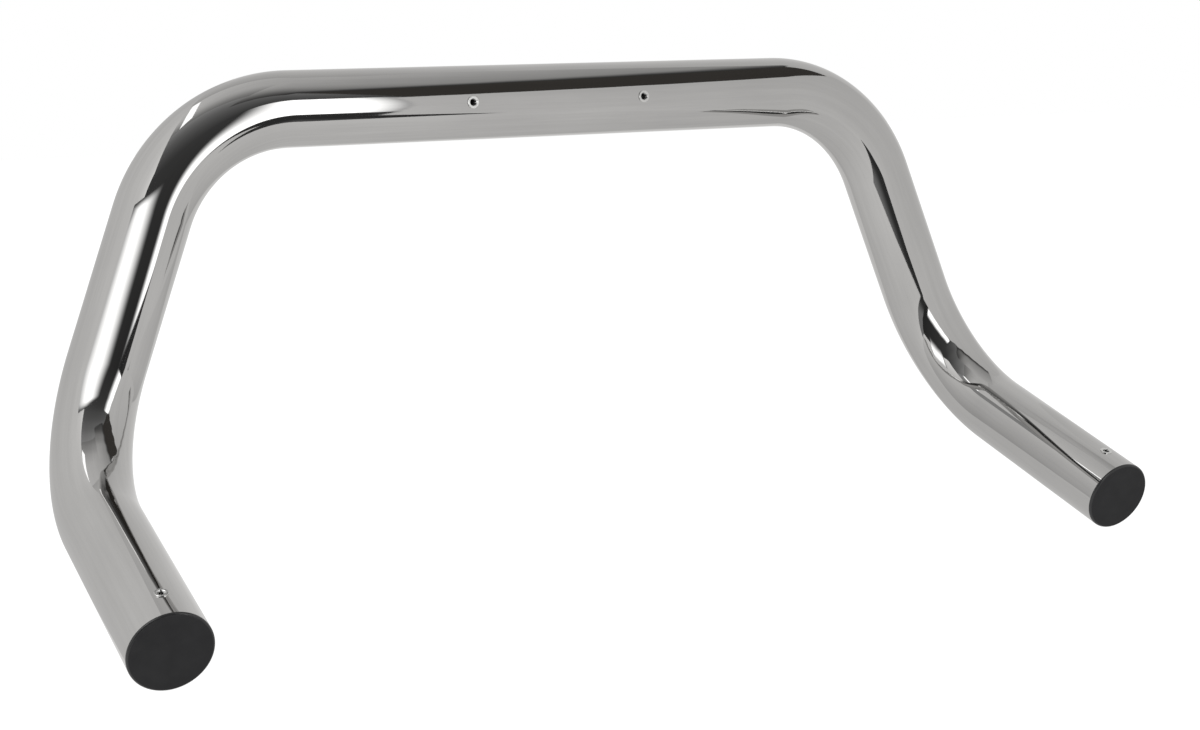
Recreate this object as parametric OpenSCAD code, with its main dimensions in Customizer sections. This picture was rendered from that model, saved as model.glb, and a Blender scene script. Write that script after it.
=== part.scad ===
// Front grille guard: a hoop of polished stainless tube, bent from one length, whose two ends
// kick out of the hoop's plane. Two threaded inserts sit in the crossbar and one near each
// end, and a ribbed plastic cap plugs each open end.
// Millimetres. X runs along the crossbar, +Z is up, and the ends point towards -Y and down.
// The origin lies midway between the two crossbar inserts, on the tube's surface.

/* [Tube] */
// Outside diameter of the tube
tube_d = 76.2; // [70:0.1:80]
// Wall thickness of the tube
tube_wall = 2; // [1.5:0.1:3]
// Radius of every bend, to the middle of the tube
bend_r = 152.4; // [130:0.1:200]

/* [Hoop] */
// Straight length of the crossbar between its two bends
crossbar_straight = 572; // [400:1:800]
// Straight length of each leg
leg_straight = 148; // [60:1:300]
// How far each leg splays outwards from vertical, in degrees
leg_splay = 21; // [5:1:35]

/* [Ends] */
// Straight length of each end
end_straight = 207; // [120:1:300]
// How far each end slopes below horizontal, in degrees
end_slope = 20; // [5:1:40]

/* [Inserts] */
// Distance between the two crossbar inserts
crossbar_insert_gap = 200; // [120:1:380]
// Distance from the end of the tube to the insert near it
end_insert_setback = 31; // [25:1:60]
// Diameter of the insert's bore, which is the tapping size of its thread
insert_bore_d = 6.8; // [5:0.1:6.8]
// Diameter of the insert's barrel, which fills the hole in the tube
insert_barrel_d = 11; // [10:0.1:11]
// Diameter of the insert's flange
insert_flange_d = 12.6; // [12:0.1:14]
// How far the flange's face stands above the tube
insert_flange_h = 0.8; // [0.6:0.1:1.5]

/* [End caps] */
// Diameter of the cap's flange, which covers the tube's edge
cap_flange_d = 76.2; // [76:0.1:82]
// Thickness of the cap's flange
cap_flange_t = 2.5; // [2.4:0.1:5]
// How far the cap's plug reaches into the tube
cap_plug_l = 15; // [10:0.5:16]

/* [Hidden] */
$fn = 96;
LEFT = -1;
RIGHT = 1;

// Tube
tube_r = tube_d / 2;
bore_r = tube_r - tube_wall;

// Bends. The kick turns the leg's heading onto the end's, so its turn and the roll before it
// follow from the splay and the slope, as does the roll from its plane to the end's top.
shoulder_turn = 90 - leg_splay;
kick_turn = acos(cos(leg_splay) * sin(end_slope));
kick_roll = acos(sin(leg_splay) * sin(end_slope) / sin(kick_turn));
end_roll = acos(cos(leg_splay) * cos(end_slope) / sin(kick_turn));
// Each bend laps the straights and is a hair thicker, so that they join cleanly at any angle
bend_lap = 0.5;
bend_swell = 0.01;

// Inserts: a flange outside the wall, a collapsed bulge that grips its inside, and a barrel
insert_l = 17;
insert_edge = 0.3;
insert_mouth_d = 8;
insert_bulge_d = 15;
insert_bulge_t = 3;
insert_seat_play = 0.02;
insert_hole_d = insert_barrel_d + 0.1;

// End caps: the ribs stop just short of the bore
cap_edge_r = 2.2;
cap_wall = 2.2;
cap_plug_r = bore_r - 1.6;
cap_rib_r = bore_r - 0.1;
cap_rib_t = 1.2;
cap_ribs = 3;
cap_rib_pitch = (cap_plug_l - 2) / cap_ribs;

// The right-hand half of the bar is one path from the crossbar's middle to the tube's end. Along
// it, Z is the tube's heading and X is the side that the next bend turns to.
module from_middle()
    translate([0, tube_r, 0]) rotate([0, 90, 0]) children();

module past_straight(length)
    translate([0, 0, length]) children();

module past_bend(turn)
    translate([bend_r, 0, 0]) rotate([0, turn, 0]) translate([-bend_r, 0, 0]) children();

module at_end()
    from_middle()
    past_straight(crossbar_straight / 2)
    past_bend(shoulder_turn)
    past_straight(leg_straight)
    rotate(-kick_roll)
    past_bend(kick_turn)
    past_straight(end_straight) children();

module on_side(side)
    mirror([side == LEFT ? 1 : 0, 0, 0]) children();

module tube_section(swell = 0) {
    difference() {
        circle(tube_r + swell);
        circle(bore_r - swell);
    }
}

// A straight length of tube, then its children
module straight_then(length) {
    linear_extrude(length) tube_section();
    past_straight(length) children();
}

// A ring of tube cut off square just past where the bend starts and ends, then its children
module bend_then(turn) {
    reach = 2 * (bend_r + tube_d);
    intersection() {
        translate([bend_r, 0, 0]) rotate([90, 0, 0])
            rotate_extrude() translate([bend_r, 0]) tube_section(bend_swell);
        translate([-tube_d, -tube_d, -bend_lap]) cube([reach, 2 * tube_d, reach]);
        past_bend(turn)
            translate([-tube_d, -tube_d, bend_lap - reach]) cube([reach, 2 * tube_d, reach]);
    }
    past_bend(turn) children();
}

module half_bar() {
    from_middle()
    straight_then(crossbar_straight / 2)
    bend_then(shoulder_turn)
    straight_then(leg_straight)
    rotate(-kick_roll)
    bend_then(kick_turn)
    straight_then(end_straight);
}

// Puts its children, whose Z axis is the thread's, at a crossbar insert
module at_crossbar_insert(side)
    on_side(side) translate([crossbar_insert_gap / 2, -insert_flange_h, 0])
        rotate([90, 0, 0]) children();

// Puts its children at the insert near one end
module at_end_insert(side)
    on_side(side) at_end() rotate(-end_roll)
        translate([tube_r + insert_flange_h, 0, -end_insert_setback])
            rotate([0, 90, 0]) children();

module insert_hole() {
    translate([0, 0, -insert_l]) cylinder(d = insert_hole_d, h = insert_l + 1);
}

module bent_tube() {
    color("lightgray") difference() {
        union() {
            on_side(LEFT) half_bar();
            on_side(RIGHT) half_bar();
        }
        for (side = [LEFT, RIGHT]) {
            at_crossbar_insert(side) insert_hole();
            at_end_insert(side) insert_hole();
        }
    }
}

// Everything within a radius of the tube's middle, seen from an insert, where it runs along X
module tube_core(r) {
    translate([-30, 0, -insert_flange_h - tube_r]) rotate([0, 90, 0]) cylinder(r = r, h = 60);
}

// Half section of the flange and the barrel, with the flange's face at height 0
module insert_section() {
    bore = insert_bore_d / 2;
    mouth = insert_mouth_d / 2;
    barrel = insert_barrel_d / 2;
    flange = insert_flange_d / 2;
    flange_low = -insert_flange_h - 1;
    polygon([
        [mouth, 0],
        [flange - insert_edge, 0],
        [flange, -insert_edge],
        [flange, flange_low],
        [barrel, flange_low],
        [barrel, -insert_l],
        [bore, -insert_l],
        [bore, bore - mouth]
    ]);
}

// The flange is cut to the curve of the tube's outside, and the bulge to that of its inside
module insert() {
    difference() {
        rotate_extrude() insert_section();
        difference() {
            tube_core(tube_r + insert_seat_play);
            translate([0, 0, -insert_l - 1]) cylinder(d = insert_barrel_d, h = insert_l + 2);
        }
    }
    intersection() {
        translate([0, 0, -insert_flange_h - tube_wall - insert_bulge_t]) difference() {
            cylinder(d = insert_bulge_d, h = insert_bulge_t);
            translate([0, 0, -1])
                cylinder(d = insert_barrel_d - 0.5, h = insert_bulge_t + 2);
        }
        tube_core(bore_r - insert_seat_play);
    }
}

module crossbar_insert(side) {
    color("silver") at_crossbar_insert(side) insert();
}

module end_insert(side) {
    color("silver") at_end_insert(side) insert();
}

// Half section of a cap, with the tube's edge at height 0 and the flange above it
module cap_section() {
    flange_r = cap_flange_d / 2;
    difference() {
        union() {
            square([flange_r - cap_edge_r, cap_flange_t]);
            square([flange_r, cap_flange_t - cap_edge_r]);
            translate([flange_r - cap_edge_r, cap_flange_t - cap_edge_r]) intersection() {
                circle(cap_edge_r);
                square(cap_edge_r);
            }
            translate([0, -cap_plug_l]) square([cap_plug_r, cap_plug_l + 0.5]);
            for (rib = [1 : cap_ribs])
                translate([cap_plug_r - 0.5, -rib * cap_rib_pitch])
                    square([cap_rib_r - cap_plug_r + 0.5, cap_rib_t]);
        }
        translate([-1, -cap_plug_l - 1]) square([cap_plug_r - cap_wall + 1, cap_plug_l + 1]);
    }
}

module end_cap(side) {
    color("black") on_side(side) at_end() rotate_extrude() cap_section();
}

bent_tube();
end_cap(LEFT);  // end_cap_left
end_cap(RIGHT);  // end_cap_right
crossbar_insert(LEFT);  // crossbar_insert_left
crossbar_insert(RIGHT);  // crossbar_insert_right
end_insert(LEFT);  // end_insert_left
end_insert(RIGHT);  // end_insert_right
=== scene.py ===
"""Looks of the front grille guard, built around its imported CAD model. Metres, in the CAD's frame:
X runs along the crossbar, +Z is up, and the ends point towards -Y and down."""

import math
from collections import namedtuple

import bpy
import numpy as np
from mathutils import Euler, Matrix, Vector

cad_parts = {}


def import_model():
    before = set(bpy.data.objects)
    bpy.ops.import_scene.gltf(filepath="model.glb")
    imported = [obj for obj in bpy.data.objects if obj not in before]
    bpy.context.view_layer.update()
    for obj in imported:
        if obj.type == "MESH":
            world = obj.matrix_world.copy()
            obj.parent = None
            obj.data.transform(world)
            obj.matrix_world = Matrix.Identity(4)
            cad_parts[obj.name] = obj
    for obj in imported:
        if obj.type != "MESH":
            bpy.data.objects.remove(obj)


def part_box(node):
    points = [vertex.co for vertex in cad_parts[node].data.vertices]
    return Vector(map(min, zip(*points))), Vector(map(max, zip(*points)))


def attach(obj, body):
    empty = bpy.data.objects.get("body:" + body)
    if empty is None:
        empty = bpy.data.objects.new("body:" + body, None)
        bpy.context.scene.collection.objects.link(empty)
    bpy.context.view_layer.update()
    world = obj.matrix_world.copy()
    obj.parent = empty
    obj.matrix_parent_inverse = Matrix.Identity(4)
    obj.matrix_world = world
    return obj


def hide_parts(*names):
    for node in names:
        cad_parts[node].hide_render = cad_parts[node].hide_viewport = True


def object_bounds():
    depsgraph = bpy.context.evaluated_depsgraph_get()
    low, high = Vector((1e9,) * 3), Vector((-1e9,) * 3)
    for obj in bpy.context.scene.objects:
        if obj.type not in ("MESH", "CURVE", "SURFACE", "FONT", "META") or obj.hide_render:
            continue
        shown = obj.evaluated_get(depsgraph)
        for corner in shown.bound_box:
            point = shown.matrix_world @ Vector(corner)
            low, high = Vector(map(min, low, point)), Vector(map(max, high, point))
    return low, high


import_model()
cad_low, cad_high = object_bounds()

# Tube: the crossbar's middle is at height 0, so the tube's radius is its highest point
TUBE_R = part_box("bent_tube")[1].z
WALL = 0.002
BORE_R = TUBE_R - WALL
BEND_R = 0.1524
CROSSBAR_STRAIGHT = 0.572
LEG_STRAIGHT = 0.148
END_STRAIGHT = 0.207
LEG_SPLAY = math.radians(21)
END_SLOPE = math.radians(20)

# The kick turns the leg's heading onto the end's, which gives its turn and the roll before it
SHOULDER_TURN = math.radians(90) - LEG_SPLAY
KICK_TURN = math.acos(math.cos(LEG_SPLAY) * math.sin(END_SLOPE))
KICK_ROLL = math.acos(math.sin(LEG_SPLAY) * math.sin(END_SLOPE) / math.sin(KICK_TURN))
END_ROLL = math.acos(math.cos(LEG_SPLAY) * math.cos(END_SLOPE) / math.sin(KICK_TURN))

# Inserts: threaded steel bushes, pressed into holes in the tube
INSERT_GAP = 0.2
INSERT_SETBACK = 0.031
INSERT_L = 0.017
INSERT_BORE_R = 0.0034
INSERT_MOUTH_R = 0.004
INSERT_BARREL_R = 0.0055
INSERT_FLANGE_R = 0.0063
INSERT_FLANGE_H = 0.0008
INSERT_BULGE_R = 0.0075
INSERT_BULGE_T = 0.003
INSERT_EDGE = 0.0003
INSERT_STEPS = 64
HOLE_GAP = 0.00005
HOLE_R = INSERT_BARREL_R + HOLE_GAP
THREAD_PITCH = 0.00125
THREAD_DEPTH = 0.0006
THREAD_ROWS = 8  # rings of points to each turn of the thread

# End caps: a round-edged flange and a hollow plug with ribs
CAP_FLANGE_R = 0.0381
CAP_FLANGE_T = 0.0025
CAP_EDGE_R = 0.0022
CAP_EDGE_STEPS = 10
CAP_PLUG_L = 0.015
CAP_RIB_GAP = 0.0001
CAP_RIB_H = 0.0015
CAP_RIB_R = BORE_R - CAP_RIB_GAP
CAP_PLUG_R = CAP_RIB_R - CAP_RIB_H
CAP_RIB_T = 0.0012
CAP_RIBS = 3
CAP_LEAD_IN = 0.002  # length of the plug's tip without ribs
CAP_WALL = 0.0022
CAP_FILLET = 0.001
CAP_BREAK = 0.0002  # on the small edges
CAP_FACE_RINGS = (0.93, 0.8, 0.6, 0.4, 0.2)
CAP_STEPS = 128

MIRROR_X = Matrix.Diagonal((-1, 1, 1, 1))
LEFT, RIGHT = -1, 1
SIDE_NAMES = {LEFT: "left", RIGHT: "right"}


# ---------------------------------------------------------------- path of the tube

Span = namedtuple("Span", "start length turn roll frame")


def advance(length, turn, share):
    """The move from a span's start to a share of its length: straight ahead, or round a bend."""
    if turn == 0:
        return Matrix.Translation((0, 0, length * share))
    return (Matrix.Translation((BEND_R, 0, 0)) @ Matrix.Rotation(turn * share, 4, "Y")
            @ Matrix.Translation((-BEND_R, 0, 0)))


def bar_spans():
    """Straights and bends of the right-hand half, from the crossbar's middle to the end.

    A span's frame has Z along the heading and X on the side that the tube turns to. Its roll
    is how far that X has been turned about Z since the middle."""
    shape = (
        (CROSSBAR_STRAIGHT / 2, 0, 0),
        (BEND_R * SHOULDER_TURN, SHOULDER_TURN, 0),
        (LEG_STRAIGHT, 0, 0),
        (BEND_R * KICK_TURN, KICK_TURN, -KICK_ROLL),
        (END_STRAIGHT, 0, 0),
    )
    at = Matrix.Translation((0, TUBE_R, 0)) @ Matrix.Rotation(math.radians(90), 4, "Y")
    spans = []
    start = roll = 0
    for length, turn, twist in shape:
        at = at @ Matrix.Rotation(twist, 4, "Z")
        roll += twist
        spans.append(Span(start, length, turn, roll, at))
        at = at @ advance(length, turn, 1)
        start += length
    return spans, start, at


SPANS, HALF_LENGTH, END_FRAME = bar_spans()
END_INSERT_ANGLE = SPANS[-1].roll - END_ROLL


def ring_frame(distance):
    """Frame at a distance along the right-hand half, without the roll, so that rings line up."""
    span = [s for s in SPANS if s.start <= distance or s.start == 0][-1]
    move = advance(span.length, span.turn, (distance - span.start) / span.length)
    return span.frame @ move @ Matrix.Rotation(-span.roll, 4, "Z")


# Heights of the relief's waves, each with the length over which it turns by a radian
SWELL_H, SWELL_LENGTH = 0.000012, 0.021
RIPPLE_H, RIPPLE_LENGTH = 0.000010, 0.013
WRINKLE_H, WRINKLE_LENGTH = 0.00002, 0.0023


def relief(along, angle):
    """How far the wall stands off a true tube: slow waves, and fine wrinkles inside each bend."""
    height = SWELL_H * np.sin(along / SWELL_LENGTH + 2 * np.sin(angle))
    height += RIPPLE_H * np.sin(along / RIPPLE_LENGTH + 3 * np.cos(angle + 1))
    for span in SPANS:
        share = (abs(along) - span.start) / span.length
        if span.turn and 0 < share < 1:
            inside = np.maximum(0, np.cos(angle - span.roll)) ** 4
            wrinkle = math.sin(abs(along) / WRINKLE_LENGTH) * math.sin(math.pi * share) ** 2
            height += WRINKLE_H * inside * wrinkle
    return height


def ring(along, angle, radius, worked):
    """Points round the tube at a signed distance from the crossbar's middle."""
    angle = np.asarray(angle, float)
    r = radius + (relief(along, angle) if worked else 0)
    local = np.stack([r * np.cos(angle), r * np.sin(angle), 0 * angle, 1 + 0 * angle], -1)
    points = local @ np.array(ring_frame(abs(along))).T
    points[:, 0] *= -1 if along < 0 else 1
    return points[:, :3]


NORMAL_STEP = 1e-5  # to each side of a point, for the slope of the wall there


def ring_normals(along, angle, radius, worked):
    """Outward normals of the wall's surface at the same points."""
    turn = NORMAL_STEP / radius
    before = ring(along, angle - turn, radius, worked)
    after = ring(along, angle + turn, radius, worked)
    behind = ring(along - NORMAL_STEP, angle, radius, worked)
    ahead = ring(along + NORMAL_STEP, angle, radius, worked)
    normals = np.cross(after - before, ahead - behind)
    return normals / np.linalg.norm(normals, axis=1)[:, None]


# ---------------------------------------------------------------- tube mesh

RING_STEPS = 128
OUTER_STEPS = (0.0065, 0.0036)  # between the rings of the wall, in straights and in bends
INNER_STEPS = (0.013, 0.0072)
WINDOW_STEPS = 4  # steps from the middle of a hole to the edge of the patch round it
WINDOW_REACH = 0.0075
WINDOW_MARGIN = 0.001  # kept free of other rings beyond a patch
Hole = namedtuple("Hole", "along angle")
HOLES = [
    Hole(side * along, angle)
    for side in (LEFT, RIGHT)
    for along, angle in (
        (INSERT_GAP / 2, -math.pi / 2),
        (HALF_LENGTH - INSERT_SETBACK, END_INSERT_ANGLE),
    )
]


def stations(straight_step, bend_step):
    """Where the rings stand along the whole tube, closer in bends and evenly past each hole."""
    half = [0.0]
    for span in SPANS:
        count = math.ceil(span.length / (bend_step if span.turn else straight_step))
        half += [span.start + span.length * (i + 1) / count for i in range(count)]
    whole = sorted({-s for s in half} | set(half))
    window = [k / WINDOW_STEPS * WINDOW_REACH for k in range(-WINDOW_STEPS, WINDOW_STEPS + 1)]
    for hole in HOLES:
        whole = [s for s in whole if abs(s - hole.along) > WINDOW_REACH + WINDOW_MARGIN]
        whole = sorted(whole + [hole.along + w for w in window])
    return whole


class TubeMesh:
    """Gathers the tube's points with their normals and their places on a straight tube, and its
    faces with their kinds: wall, or cut for those across the wall's thickness."""

    def __init__(self):
        self.points, self.normals, self.places, self.faces, self.kinds = [], [], [], [], []

    def add_points(self, along, angle, radius, worked):
        """Adds points of a ring, and gives their numbers."""
        angle = np.atleast_1d(angle)
        first = len(self.points)
        self.points += list(ring(along, angle, radius, worked))
        self.normals += list(ring_normals(along, angle, radius, worked))
        self.places += [(TUBE_R * math.cos(a), TUBE_R * math.sin(a), along) for a in angle]
        return [first + k for k in range(len(angle))]

    def add_face(self, corners, outwards, kind):
        self.faces.append(tuple(corners) if outwards else tuple(reversed(corners)))
        self.kinds.append(kind)


def tube_wall(mesh, rows, radius, outwards):
    """A whole wall as a grid with a patch round each hole. Gives its end rings and hole rims."""
    angles = np.arange(RING_STEPS) * 2 * math.pi / RING_STEPS
    grid = [mesh.add_points(s, angles, radius, outwards) for s in rows]
    windows = []
    for hole in HOLES:
        i = min(range(len(rows)), key=lambda k: abs(rows[k] - hole.along))
        j = round(hole.angle / (2 * math.pi) * RING_STEPS)
        windows.append((hole, i, j))

    def in_window(i, j):
        return any(
            -WINDOW_STEPS <= i - mid_i < WINDOW_STEPS
            and (j - mid_j + WINDOW_STEPS) % RING_STEPS < 2 * WINDOW_STEPS
            for _, mid_i, mid_j in windows
        )

    for i in range(len(rows) - 1):
        for j in range(RING_STEPS):
            if not in_window(i, j):
                after = (j + 1) % RING_STEPS
                corners = grid[i][j], grid[i][after], grid[i + 1][after], grid[i + 1][j]
                mesh.add_face(corners, outwards, "wall")
    rims = [hole_patch(mesh, grid, window, radius, outwards) for window in windows]
    return grid[0], grid[-1], rims


def hole_patch(mesh, grid, window, radius, outwards):
    """Joins the square window left in the grid to the round hole in it, and gives the rim."""
    hole, mid_i, mid_j = window
    w = WINDOW_STEPS
    border = [(k, -w) for k in range(-w, w)] + [(w, k) for k in range(-w, w)]
    border += [(-i, -j) for i, j in border]
    border = [grid[mid_i + i][(mid_j + j) % RING_STEPS] for i, j in border]
    rim = []
    first = -0.75 * math.pi  # direction of the border's first corner from the hole's middle
    for k in range(len(border)):
        turn = 2 * math.pi * k / len(border) + first
        across = math.asin(HOLE_R * math.sin(turn) / radius)
        place = hole.along + HOLE_R * math.cos(turn), hole.angle + across
        rim += mesh.add_points(*place, radius, outwards)
    for k in range(len(border)):
        after = (k + 1) % len(border)
        corners = border[k], rim[k], rim[after], border[after]
        mesh.add_face(corners, outwards, "wall")
    return rim


def join_rims(mesh, outer, inner, outwards):
    """A flat or round band of faces between an edge of the outer wall and one of the inner."""
    for k in range(len(outer)):
        after = (k + 1) % len(outer)
        mesh.add_face((outer[k], outer[after], inner[after], inner[k]), outwards, "cut")


def bent_tube():
    """The whole hoop: its outer and inner walls, joined at its ends and round its holes."""
    mesh = TubeMesh()
    outer_first, outer_last, outer_rims = tube_wall(mesh, stations(*OUTER_STEPS), TUBE_R, True)
    inner_first, inner_last, inner_rims = tube_wall(mesh, stations(*INNER_STEPS), BORE_R, False)
    join_rims(mesh, outer_last, inner_last, True)
    join_rims(mesh, outer_first, inner_first, False)
    for outer, inner in zip(outer_rims, inner_rims):
        join_rims(mesh, outer, inner, False)
    piece = mesh_object("guard_tube", mesh)
    piece.data.materials.append(polished_steel())
    return piece


def new_object(name, data):
    """An object of the given data, put in the scene."""
    piece = bpy.data.objects.new(name, data)
    bpy.context.scene.collection.objects.link(piece)
    return piece


def keep_coordinates(data, name, coordinates):
    """Stores a point's coordinates before it was bent or placed, for its material to follow."""
    attribute = data.attributes.new(name, "FLOAT_VECTOR", "POINT")
    attribute.data.foreach_set("vector", np.array(coordinates, float).ravel())


def mesh_object(name, mesh):
    """The gathered mesh as an object, without the points that no face uses.

    Its walls get the normals of the true surface, and its cut faces their own flat ones."""
    used = sorted({corner for face in mesh.faces for corner in face})
    renumber = {old: new for new, old in enumerate(used)}
    data = bpy.data.meshes.new(name)
    faces = [[renumber[c] for c in face] for face in mesh.faces]
    data.from_pydata([mesh.points[k] for k in used], [], faces)
    data.polygons.foreach_set("use_smooth", [True] * len(faces))
    keep_coordinates(data, "unbent", [mesh.places[k] for k in used])
    data.update()
    normals = []
    for face, kind, polygon in zip(mesh.faces, mesh.kinds, data.polygons):
        for corner in face:
            normal = mesh.normals[corner]
            if kind == "cut":
                normals.append(tuple(polygon.normal))
            else:
                sign = 1 if np.dot(normal, polygon.normal) > 0 else -1
                normals.append(tuple(sign * normal))
    data.normals_split_custom_set(normals)
    return new_object(name, data)


# ---------------------------------------------------------------- turned pieces

CREASE = math.radians(38)  # least angle between faces that shows as an edge


def turned(name, section, steps, place, material, bend_to=None):
    """A closed section of (radius, height) points turned about Z, put in place by a matrix.

    bend_to(index, radius, height, angle) may move each point, for a thread or a saddle."""
    points, faces, columns = [], [], []
    for k, (radius, height) in enumerate(section):
        column = []
        for j in range(1 if radius == 0 else steps):
            angle = 2 * math.pi * j / steps
            r, z = bend_to(k, radius, height, angle) if bend_to else (radius, height)
            column.append(len(points))
            points.append((r * math.cos(angle), r * math.sin(angle), z))
        columns.append(column)
    for k, low in enumerate(columns):
        high = columns[(k + 1) % len(columns)]
        if len(low) == len(high) == 1:
            continue
        for j in range(steps):
            after = (j + 1) % steps
            corners = [low[j % len(low)], low[after % len(low)]]
            corners += [high[after % len(high)], high[j % len(high)]]
            faces.append(list(dict.fromkeys(corners)))
    data = bpy.data.meshes.new(name)
    data.from_pydata(points, [], faces)
    data.polygons.foreach_set("use_smooth", [True] * len(faces))
    data.set_sharp_from_angle(angle=CREASE)
    keep_coordinates(data, "turned", points)
    data.transform(place)
    data.materials.append(material)
    return new_object(name, data)


def arc(middle_r, middle_z, radius, start, end, count):
    """Points of a section along an arc, in degrees from the radial direction."""
    turns = [math.radians(start + (end - start) * k / count) for k in range(count + 1)]
    return [(middle_r + radius * math.cos(t), middle_z + radius * math.sin(t)) for t in turns]


def cap_section():
    """The cap's half section, with the tube's edge at height 0 and the flange above it."""
    edge = CAP_BREAK
    bore = CAP_PLUG_R - CAP_WALL
    pitch = (CAP_PLUG_L - CAP_LEAD_IN) / CAP_RIBS
    inset = 0.3 * CAP_FILLET
    section = [(0, 0), (bore - CAP_FILLET, 0), (bore - inset, -inset)]
    section += [(bore, -CAP_FILLET), (bore, -CAP_PLUG_L + edge)]
    section += [(bore + edge, -CAP_PLUG_L), (CAP_PLUG_R - 2 * edge, -CAP_PLUG_L)]
    section += [(CAP_PLUG_R, -CAP_PLUG_L + 2 * edge)]
    for rib in range(CAP_RIBS, 0, -1):
        low = -rib * pitch
        high = low + CAP_RIB_T
        section += [(CAP_PLUG_R, low), (CAP_RIB_R - edge, low + edge), (CAP_RIB_R, low + 2 * edge)]
        section += [(CAP_RIB_R, high - edge), (CAP_RIB_R - edge, high), (CAP_PLUG_R, high)]
    section += [(CAP_PLUG_R, 0), (CAP_FLANGE_R - edge, 0), (CAP_FLANGE_R, edge)]
    section += arc(CAP_FLANGE_R - CAP_EDGE_R, CAP_FLANGE_T - CAP_EDGE_R, CAP_EDGE_R,
                   0, 90, CAP_EDGE_STEPS)
    section += [(share * CAP_FLANGE_R, CAP_FLANGE_T) for share in CAP_FACE_RINGS]
    return section + [(0, CAP_FLANGE_T)]


def insert_section():
    """The insert's half section and the run that each of its points belongs to, with the
    flange's face at height 0. The section is given backwards, so that its faces look out.

    The heights of the seat and the grip are left to threaded_insert, which fits them to the
    tube's walls."""
    top = INSERT_BORE_R - INSERT_MOUTH_R
    thread_rows = round(THREAD_ROWS * (top + INSERT_L) / THREAD_PITCH)
    bulge_low = -INSERT_FLANGE_H - WALL - INSERT_BULGE_T
    runs = {
        "face": [(INSERT_MOUTH_R, 0), (INSERT_FLANGE_R - INSERT_EDGE, 0)],
        "rim": [(INSERT_FLANGE_R, -INSERT_EDGE)],
        "seat": [(INSERT_FLANGE_R, 0), (INSERT_BARREL_R, 0)],
        "grip": [(INSERT_BARREL_R, 0), (INSERT_BULGE_R - INSERT_EDGE, 0)],
        "bulge": [
            (INSERT_BULGE_R, bulge_low + INSERT_BULGE_T / 2),
            (INSERT_BULGE_R - INSERT_EDGE, bulge_low + INSERT_BULGE_T / 4),
            (INSERT_BARREL_R, bulge_low),
        ],
        "barrel": [(INSERT_BARREL_R, -INSERT_L + INSERT_EDGE)],
        "foot": [(INSERT_BARREL_R - INSERT_EDGE, -INSERT_L), (INSERT_BORE_R, -INSERT_L)],
        "thread": [
            (INSERT_BORE_R, -INSERT_L + (top + INSERT_L) * k / thread_rows)
            for k in range(1, thread_rows)
        ],
        "mouth": [(INSERT_BORE_R, top)],
    }
    section = [point for points in runs.values() for point in points]
    names = [run for run, points in runs.items() for _ in points]
    return section[::-1], names[::-1]


def threaded_insert(name, place, material):
    """A rivet nut, set in the tube's wall, with its thread cut from the foot to the mouth."""
    section, runs = insert_section()
    low, high = -INSERT_L, INSERT_BORE_R - INSERT_MOUTH_R

    def fit(k, radius, height, angle):
        """Seats the flange on the tube and the bulge inside it, and cuts the thread."""
        across = radius * math.sin(angle)
        middle = -INSERT_FLANGE_H - TUBE_R
        if runs[k] == "seat":
            return radius, middle + math.sqrt(TUBE_R**2 - across**2)
        if runs[k] == "grip":
            return radius, middle + math.sqrt(BORE_R**2 - across**2)
        if runs[k] == "thread":
            phase = (height / THREAD_PITCH - angle / (2 * math.pi)) % 1
            # A groove over half of each turn, with a narrow flat bottom
            groove = min(1, max(0, 1.15 - 2.3 * abs(2 * phase - 1)))
            fade = min(1, (high - height) / THREAD_PITCH, (height - low) / THREAD_PITCH)
            return radius + THREAD_DEPTH * groove * fade, height
        return radius, height

    return turned(name, section, INSERT_STEPS, place, material, fit)


# ---------------------------------------------------------------- materials

def new_material(name):
    """A material with its node tree and its shader."""
    material = bpy.data.materials.new(name)
    material.use_nodes = True
    tree = material.node_tree
    return material, tree, tree.nodes["Principled BSDF"]


def add_node(tree, kind, settings=None, **inputs):
    """A node with its settings and its inputs, which are values or other nodes' sockets."""
    node = tree.nodes.new(kind)
    for key, value in (settings or {}).items():
        setattr(node, key, value)
    for key, value in inputs.items():
        socket = node.inputs[int(key[1:])] if key[1:].isdigit() else node.inputs[key]
        if isinstance(value, bpy.types.NodeSocket):
            tree.links.new(value, socket)
        else:
            socket.default_value = value
    return node


def kept_coordinates(tree, name):
    """What keep_coordinates stored, as a socket."""
    return add_node(tree, "ShaderNodeAttribute", {"attribute_name": name}).outputs["Vector"]


def noise(tree, where, stretch, scale, detail=2, roughness=0.5):
    """Noise over a coordinate that is first stretched along its axes."""
    mapping = add_node(tree, "ShaderNodeMapping", Vector=where, Scale=stretch)
    return add_node(
        tree, "ShaderNodeTexNoise", Vector=mapping.outputs["Vector"], Scale=scale,
        Detail=detail, Roughness=roughness,
    ).outputs["Fac"]


def spread(tree, value, low, high):
    """A value from 0 to 1, brought to a range."""
    return add_node(tree, "ShaderNodeMapRange", i0=value, i3=low, i4=high).outputs[0]


def ramp(tree, value, *stops):
    """Colours by a value: each stop is a position and a colour."""
    node = add_node(tree, "ShaderNodeValToRGB", i0=value)
    elements = node.color_ramp.elements
    for element, (position, colour) in zip(elements, stops):
        element.position, element.color = position, (*colour, 1)
    for position, colour in stops[2:]:
        elements.new(position).color = (*colour, 1)
    return node.outputs["Color"]


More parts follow.
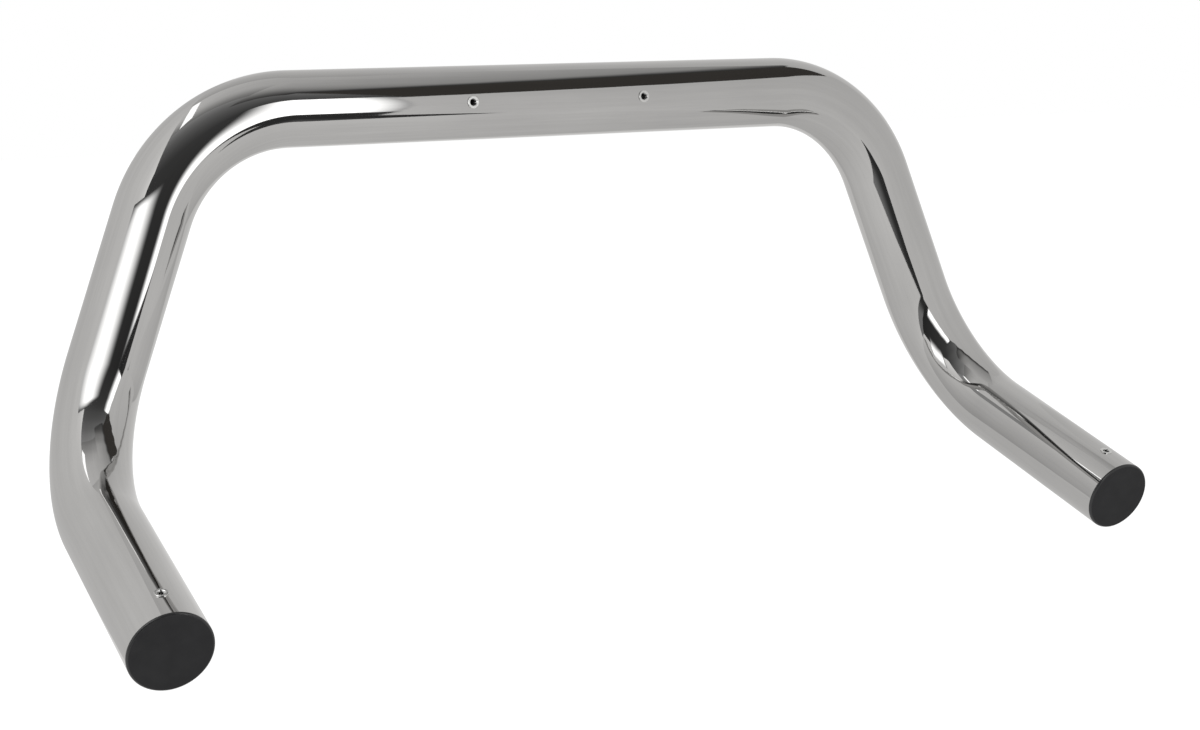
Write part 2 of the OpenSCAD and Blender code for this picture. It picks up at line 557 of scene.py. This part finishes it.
def polished_steel():
    """Stainless tube polished along its length: faint lengthwise lines, haze and a few scuffs."""
    material, tree, shader = new_material("polished_stainless")
    where = kept_coordinates(tree, "unbent")
    lines = noise(tree, where, (1, 1, 0.012), 900, detail=3)
    haze = noise(tree, where, (1, 1, 0.5), 22, detail=4)
    streaks = noise(tree, where, (1, 1, 0.03), 170, detail=4, roughness=0.65)
    shade = add_node(tree, "ShaderNodeMix", Factor=0.6, A=haze, B=streaks).outputs["Result"]
    tint = ramp(tree, shade, (0.35, (0.52, 0.516, 0.51)), (0.65, (0.575, 0.571, 0.564)))
    tree.links.new(tint, shader.inputs["Base Color"])
    mixed = add_node(tree, "ShaderNodeMix", Factor=0.45, A=haze, B=lines).outputs["Result"]
    tree.links.new(spread(tree, mixed, 0.02, 0.075), shader.inputs["Roughness"])
    bump = add_node(tree, "ShaderNodeBump", Strength=0.05, Distance=0.00002, Height=lines)
    tree.links.new(bump.outputs["Normal"], shader.inputs["Normal"])
    shader.inputs["Metallic"].default_value = 1
    return material


# Painted shade in the insert's bore: the thread's colour darkens with depth below the flange's face
BORE_SHADE_HEIGHT = -0.0065  # of the thread below which shade is painted in, from the flange's face
BORE_LIT_HEIGHT = -0.003
BORE_SHADE_FACTOR = 0.1


def plated_steel():
    """Bright plated steel with fine turning rings, and painted shade that darkens the thread down
    the bore.
    """
    material, tree, shader = new_material("plated_steel")
    where = kept_coordinates(tree, "turned")
    rings = add_node(
        tree, "ShaderNodeTexWave", {"wave_type": "RINGS", "rings_direction": "Z"},
        Vector=where, Scale=1400, Distortion=1.5, Detail=2,
    ).outputs["Fac"]
    grain = noise(tree, where, (1, 1, 1), 900, detail=3)
    tint = ramp(tree, grain, (0.3, (0.66, 0.66, 0.65)), (0.7, (0.78, 0.78, 0.77)))
    height = add_node(tree, "ShaderNodeSeparateXYZ", Vector=where).outputs["Z"]
    # Painted shade: the colour is darkened deep in the bore, where shade falls
    unshaded = add_node(tree, "ShaderNodeMapRange", i0=height, i1=BORE_SHADE_HEIGHT, i2=BORE_LIT_HEIGHT,
                     i3=BORE_SHADE_FACTOR).outputs[0]
    shade = add_node(tree, "ShaderNodeVectorMath", {"operation": "SCALE"}, i0=tint, Scale=unshaded)
    tree.links.new(shade.outputs[0], shader.inputs["Base Color"])
    tree.links.new(spread(tree, grain, 0.12, 0.26), shader.inputs["Roughness"])
    bump = add_node(tree, "ShaderNodeBump", Strength=0.25, Distance=0.00002, Height=rings)
    tree.links.new(bump.outputs["Normal"], shader.inputs["Normal"])
    shader.inputs["Metallic"].default_value = 1
    return material


RIM_SMOOTHING = -0.34  # added to the roughness at the rim


def moulded_plastic():
    """Black moulded plastic with a fine pebbled grain, smoother in patches and at the rim."""
    material, tree, shader = new_material("black_plastic")
    where = kept_coordinates(tree, "turned")
    patches = noise(tree, where, (1, 1, 1), 60, detail=4)
    grain = noise(tree, where, (1, 1, 1), 2600, detail=2)
    tint = ramp(tree, patches, (0.3, (0.024, 0.024, 0.025)), (0.75, (0.030, 0.030, 0.031)))
    tree.links.new(tint, shader.inputs["Base Color"])
    flat = add_node(tree, "ShaderNodeVectorMath", {"operation": "MULTIPLY"},
                    i0=where, i1=(1, 1, 0))
    reach = add_node(tree, "ShaderNodeVectorMath", {"operation": "LENGTH"}, i0=flat.outputs[0])
    rim = add_node(tree, "ShaderNodeMapRange", i0=reach.outputs["Value"],
                   i1=CAP_FLANGE_R - CAP_EDGE_R, i2=CAP_FLANGE_R - CAP_EDGE_R / 2).outputs[0]
    rough = add_node(tree, "ShaderNodeMath", {"operation": "MULTIPLY_ADD"},
                     i0=rim, i1=RIM_SMOOTHING, i2=spread(tree, patches, 0.45, 0.6))
    tree.links.new(rough.outputs[0], shader.inputs["Roughness"])
    tree.links.new(spread(tree, rim, 0.06, 0.45), shader.inputs["Specular IOR Level"])
    bump = add_node(tree, "ShaderNodeBump", Strength=0.35, Distance=0.00006, Height=grain)
    tree.links.new(bump.outputs["Normal"], shader.inputs["Normal"])
    return material


# ---------------------------------------------------------------- the object's pieces

def on_side(side, place):
    """A right-hand place, or the same one on the left for a piece that is its own mirror."""
    return place if side == RIGHT else MIRROR_X @ place @ MIRROR_X


def place_piece(piece, node):
    """Puts a finished piece in the place of its CAD node."""
    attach(piece, "root")
    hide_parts(node)


def build_object():
    """The tube, and on each side its cap and two inserts."""
    place_piece(bent_tube(), "bent_tube")
    plastic, plating = moulded_plastic(), plated_steel()
    crossbar_place = (Matrix.Translation((INSERT_GAP / 2, -INSERT_FLANGE_H, 0))
                      @ Matrix.Rotation(math.radians(90), 4, "X"))
    end_place = (END_FRAME @ Matrix.Rotation(-END_ROLL, 4, "Z")
                 @ Matrix.Translation((TUBE_R + INSERT_FLANGE_H, 0, -INSERT_SETBACK))
                 @ Matrix.Rotation(math.radians(90), 4, "Y"))
    for side, name in SIDE_NAMES.items():
        cap_place = on_side(side, END_FRAME)
        cap = turned(f"cap_{name}", cap_section(), CAP_STEPS, cap_place, plastic)
        place_piece(cap, f"end_cap_{name}")
        for where, place in (("crossbar", crossbar_place), ("end", end_place)):
            piece = threaded_insert(f"thread_{where}_{name}", on_side(side, place), plating)
            place_piece(piece, f"{where}_insert_{name}")


# ---------------------------------------------------------------- studio

CAMERA_PLACE = (-0.9581, -1.8513, -0.0184)
CAMERA_HEADING = 28.19  # degrees from +Y towards +X
CAMERA_TILT = -7.165  # degrees above the horizon
CAMERA_ROLL = 2.26  # degrees clockwise
CAMERA_LENS = 59.52  # mm
CAMERA_SENSOR = 36  # mm across


def feather(tree, place, low, high):
    """Fades from 0 to 1 and back over a share at each end of a place that runs from 0 to 1."""
    rise, fall = (
        add_node(tree, "ShaderNodeMapRange", {"interpolation_type": "SMOOTHSTEP"},
                 i0=place, i1=outer, i2=inner).outputs[0]
        for outer, inner in ((0.0, low), (1.0, 1 - high))
    )
    return add_node(tree, "ShaderNodeMath", {"operation": "MULTIPLY"}, i0=rise, i1=fall).outputs[0]


def glow_material(tint, edges=None, behind=0.0):
    """Light of a studio card, as bright as its corners say. A softbox fades at its edges, over
    the shares given for its left, right, lower and upper one, to the brightness behind it."""
    material = bpy.data.materials.new("card_glow")
    material.use_nodes = True
    tree = material.node_tree
    tree.nodes.clear()
    strength = add_node(tree, "ShaderNodeAttribute", {"attribute_name": "glow"}).outputs["Fac"]
    if edges:
        spot = add_node(tree, "ShaderNodeSeparateXYZ", Vector=kept_coordinates(tree, "spot"))
        across = feather(tree, spot.outputs["X"], edges[0], edges[1])
        upwards = feather(tree, spot.outputs["Y"], edges[2], edges[3])
        share = add_node(tree, "ShaderNodeMath", {"operation": "MULTIPLY"}, i0=across, i1=upwards)
        strength = add_node(tree, "ShaderNodeMapRange", i0=share.outputs[0], i3=behind,
                            i4=strength).outputs[0]
    glow = add_node(tree, "ShaderNodeEmission", Color=(*tint, 1), Strength=strength)
    output = add_node(tree, "ShaderNodeOutputMaterial")
    tree.links.new(glow.outputs[0], output.inputs["Surface"])
    return material


def card(name, corners, glow, material):
    """A flat studio card that is seen only in the object. Its corners are given left and right
    at its low or near edge, then right and left at the other, and glow is their brightness."""
    data = bpy.data.meshes.new(name)
    data.from_pydata([(*studio_place(right, ahead), z) for right, ahead, z in corners],
                     [], [(0, 1, 2, 3)])
    keep_coordinates(data, "spot", [(0, 0, 0), (1, 0, 0), (1, 1, 0), (0, 1, 0)])
    data.attributes.new("glow", "FLOAT", "POINT").data.foreach_set("value", glow)
    data.materials.append(material)
    piece = new_object(name, data)
    piece.visible_camera = False
    piece.visible_diffuse = False
    piece.visible_shadow = False


def studio_place(right, ahead):
    """A point of the plan from its distances to the right of and along the camera's heading."""
    turn = math.radians(CAMERA_HEADING)
    x = right * math.cos(turn) + ahead * math.sin(turn)
    y = ahead * math.cos(turn) - right * math.sin(turn)
    return x, y


def upright(name, start, end, low, high, glow, material):
    """A card that stands on a line of the plan. Its top may slope: high at its start and end."""
    corners = [(*start, low), (*end, low), (*end, high[1]), (*start, high[0])]
    card(name, corners, glow, material)


def level(name, right, ahead, height, glow, material):
    """A level card over a range to the right and a range ahead."""
    corners = [(right[0], ahead[0], height), (right[1], ahead[0], height),
               (right[1], ahead[1], height), (right[0], ahead[1], height)]
    card(name, corners, glow, material)


WHITE = (1, 1, 1)
PALE = (1, 0.992, 0.982)
BROWN = (1, 0.92, 0.84)
FLOOR_Z = cad_low.z
FLOOR_REACH = 40
GLOW_Z = -0.60  # height of the floor that the steel reflects
ROOM = 4  # how far the large cards reach to either side, ahead and up
BACK_AHEAD = 0.89
FRONT_AHEAD = -1.3
FRONT_SPLIT_Z = 0.6  # where the front wall starts to grow lighter
FLOOR_SPLIT = 0.1
FLOOR_EDGE = 0.5
FLOOR_DROP = 0.002  # keeps the dark floor under the pale one
SOFTBOX_GLOW = 2.7
STRIP_GLOW = 2
WORLD_GLOW = 0.63
WALL_GLOW = 0.045  # behind the softboxes
SHARP = 0.001  # the share of an edge that doesn't fade


def softboxes():
    """Two soft lights beside the camera, and a bright strip overhead on the left."""
    left = glow_material(WHITE, (0.55, 0.61, 0.05, 0.14), WALL_GLOW)
    right = glow_material(WHITE, (0.62, 0.30, 0.04, 0.05), WALL_GLOW)
    glow = [SOFTBOX_GLOW] * 4
    upright("softbox_left", (-0.87, -0.49), (-0.16, -0.85), -0.28, (0.14, 0.14), glow, left)
    upright("softbox_right", (0.40, -1.07), (0.80, -0.79), -0.40, (0.54, 0.54), glow, right)
    corners = [(-0.84, -0.66, 1.2), (-0.70, -0.52, 1.2), (-0.86, 0.25, 1.2), (-0.96, 0.25, 1.2)]
    card("strip_left", corners, [STRIP_GLOW] * 4, glow_material(WHITE))


def boards():
    """Pale boards left, right and behind, a ceiling that fades at its front and right edges,
    and the pale floor as the steel sees it."""
    pale = glow_material(PALE)
    upright("board_right", (0.757, -0.80), (0.757, 0.62), GLOW_Z, (0.45, 0.45),
            (0.78, 0.72, 0.63, 0.70), pale)
    upright("board_left", (-0.80, -1.30), (-0.54, 1.75), GLOW_Z, (0.76, 0.42),
            (0.93, 0.20, 0.35, 1.12), pale)
    upright("board_back", (-ROOM, BACK_AHEAD), (ROOM, BACK_AHEAD), GLOW_Z, (ROOM, ROOM),
            (0.80, 0.80, 0.41, 0.41), pale)
    level("ceiling", (0.20, 1.15), (-1.45, 1.19), 1.57, (0.60, 0.33, 0.33, 0.60),
          glow_material(PALE, (SHARP, 0.26, 0.44, SHARP), 0.05))
    level("ceiling_high", (-ROOM, ROOM), (-1.6, ROOM), 2.6, (0.90, 0.28, 0.41, 0.98),
          glow_material(PALE, (SHARP, SHARP, 0.27, SHARP), 0.2))
    corners = [(-ROOM, -1.34, GLOW_Z), (ROOM, 0.04, GLOW_Z),
               (ROOM, BACK_AHEAD, GLOW_Z), (-ROOM, BACK_AHEAD, GLOW_Z)]
    card("floor_glow", corners, (1.20, 0.50, 0.37, 0.86), pale)


def dark_walls():
    """The dark room round the boards."""
    dark, brown = glow_material(WHITE), glow_material(BROWN)
    fading = glow_material(WHITE, (0.13, SHARP, SHARP, SHARP), 0.25)
    front_left, front_right = (-ROOM, FRONT_AHEAD), (ROOM, FRONT_AHEAD)
    ahead, height = (-ROOM, FLOOR_EDGE), GLOW_Z - FLOOR_DROP
    upright("gap_right", (1.45, -3.5), (1.45, 6), GLOW_Z, (ROOM, ROOM), [0.053] * 4, brown)
    upright("wall_front", front_left, front_right, GLOW_Z, (FRONT_SPLIT_Z, FRONT_SPLIT_Z),
            (0.03, 0.03, 0.06, 0.06), dark)
    upright("wall_high", front_left, front_right, FRONT_SPLIT_Z, (ROOM, ROOM),
            (0.06, 0.06, 0.52, 0.52), dark)
    upright("wall_left", (-1.68, -4), (-1.68, 6), GLOW_Z, (2, 2), [0.33] * 4, dark)
    level("floor_left", (-ROOM, FLOOR_SPLIT), ahead, height, [0.25] * 4, dark)
    level("floor_front", (FLOOR_SPLIT, ROOM), ahead, height, [0.04] * 4, fading)


def floor():
    """A plain pale floor, seen by the camera and not in the steel, where floor_glow stands in."""
    data = bpy.data.meshes.new("floor")
    corners = [(x * FLOOR_REACH, y * FLOOR_REACH, FLOOR_Z)
               for x, y in ((-1, -1), (1, -1), (1, 1), (-1, 1))]
    data.from_pydata(corners, [], [(0, 1, 2, 3)])
    material, _, shader = new_material("pale_floor")
    shader.inputs["Base Color"].default_value = (0.1, 0.1, 0.1, 1)
    shader.inputs["Roughness"].default_value = 0.9
    shader.inputs["Emission Color"].default_value = (1, 1, 1, 1)
    shader.inputs["Emission Strength"].default_value = 1.0
    data.materials.append(material)
    piece = new_object("floor", data)
    piece.visible_glossy = False


def world():
    """White behind the object, and a softer white all round for its light and reflections."""
    made = bpy.data.worlds.new("studio")
    made.use_nodes = True
    tree = made.node_tree
    tree.nodes.clear()
    seen = add_node(tree, "ShaderNodeLightPath").outputs["Is Camera Ray"]
    strength = spread(tree, seen, WORLD_GLOW, 1.0)
    back = add_node(tree, "ShaderNodeBackground", Color=(1, 1, 1, 1), Strength=strength)
    output = add_node(tree, "ShaderNodeOutputWorld")
    tree.links.new(back.outputs[0], output.inputs["Surface"])
    bpy.context.scene.world = made


# ---------------------------------------------------------------- camera

def camera():
    """The camera at the place, heading and roll given above."""
    data = bpy.data.cameras.new("camera")
    data.lens = CAMERA_LENS
    data.sensor_width = CAMERA_SENSOR
    piece = new_object("camera", data)
    aim = Euler((math.radians(90 + CAMERA_TILT), 0, math.radians(-CAMERA_HEADING))).to_matrix()
    roll = Matrix.Rotation(math.radians(-CAMERA_ROLL), 3, "Z")
    piece.matrix_world = Matrix.Translation(CAMERA_PLACE) @ (aim @ roll).to_4x4()
    bpy.context.scene.camera = piece


build_object()
softboxes()
boards()
dark_walls()
floor()
world()
camera()
bpy.context.scene.view_settings.view_transform = "Standard"
